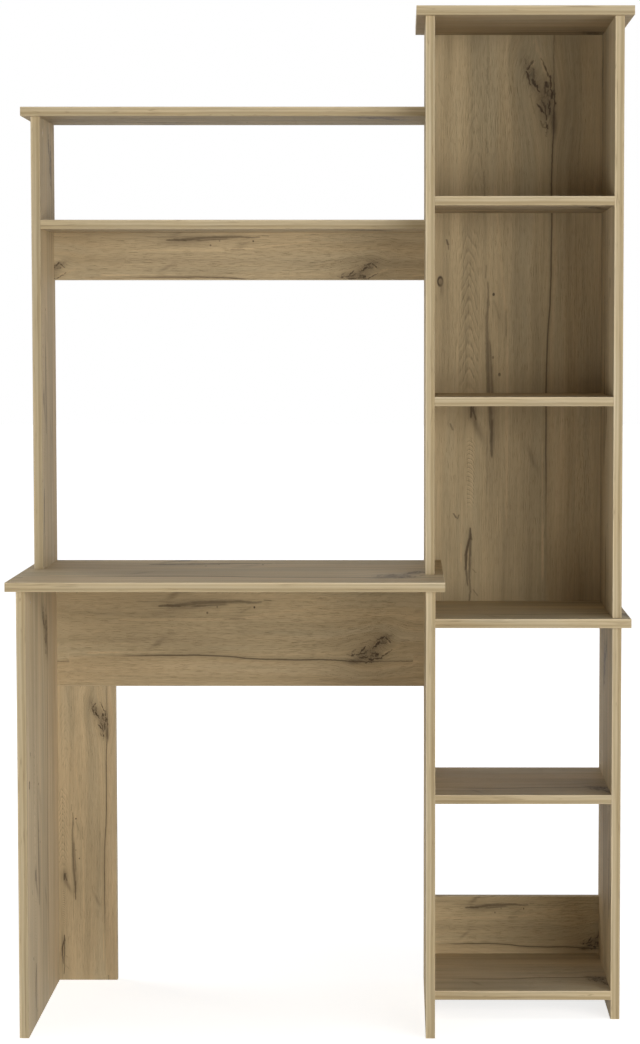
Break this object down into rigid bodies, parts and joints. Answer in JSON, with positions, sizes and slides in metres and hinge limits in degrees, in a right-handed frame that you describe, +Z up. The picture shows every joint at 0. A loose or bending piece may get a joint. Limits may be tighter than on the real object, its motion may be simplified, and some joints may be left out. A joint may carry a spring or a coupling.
{
  "type": "student desk with hutch",
  "caption": "Student desk of oak-print board with an open hutch over the worktop, a tall open shelf tower at its right end and a low open cabinet under the tower.",
  "frame": {"origin": "on the floor under the middle of the overall box", "axes": "+Z up, +X to the right along the worktop, the front with the knee space looks along -Y"},
  "size_m": [1, 0.453, 1.65],
  "materials": {
    "oak_board": "oak-print melamine on particle board",
    "edge_band": "pale oak-print plastic edge band",
    "hardboard": "oak-print thin hardboard",
    "dowel_wood": "bare beech",
    "fastener_metal": "zinc plated"
  },
  "bodies": {
    "root": {"back_panel_brads": "fastener_metal", "cabinet_back_rail": "oak_board", "cabinet_back_rail_edge_band": "edge_band", "cabinet_bottom": "oak_board", "cabinet_bottom_edge_band": "edge_band", "cabinet_counter": "oak_board", "cabinet_counter_edge_band": "edge_band", "cabinet_dowels": "dowel_wood", "cabinet_shelf": "oak_board", "cabinet_shelf_edge_band": "edge_band", "cabinet_side_panel": "oak_board", "cabinet_side_panel_edge_band": "edge_band", "cam_bolts": "fastener_metal", "cam_housings": "fastener_metal", "desk_dowels": "dowel_wood", "desk_top": "oak_board", "desk_top_edge_band": "edge_band", "hutch_dowels": "dowel_wood", "hutch_rail": "oak_board", "hutch_rail_edge_band": "edge_band", "hutch_shelf": "oak_board", "hutch_shelf_edge_band": "edge_band", "hutch_top": "oak_board", "hutch_top_edge_band": "edge_band", "hutch_upright": "oak_board", "hutch_upright_edge_band": "edge_band", "left_leg_panel": "oak_board", "left_leg_panel_edge_band": "edge_band", "modesty_panel": "oak_board", "modesty_panel_edge_band": "edge_band", "rear_leg_strip": "oak_board", "rear_leg_strip_edge_band": "edge_band", "right_leg_panel": "oak_board", "right_leg_panel_edge_band": "edge_band", "through_dowels": "dowel_wood", "tower_back_panel": "hardboard", "tower_dowels": "dowel_wood", "tower_left_upright": "oak_board", "tower_left_upright_edge_band": "edge_band", "tower_middle_shelf": "oak_board", "tower_middle_shelf_edge_band": "edge_band", "tower_right_upright": "oak_board", "tower_right_upright_edge_band": "edge_band", "tower_top": "oak_board", "tower_top_edge_band": "edge_band", "tower_upper_shelf": "oak_board", "tower_upper_shelf_edge_band": "edge_band"}
  },
  "joints": []
}
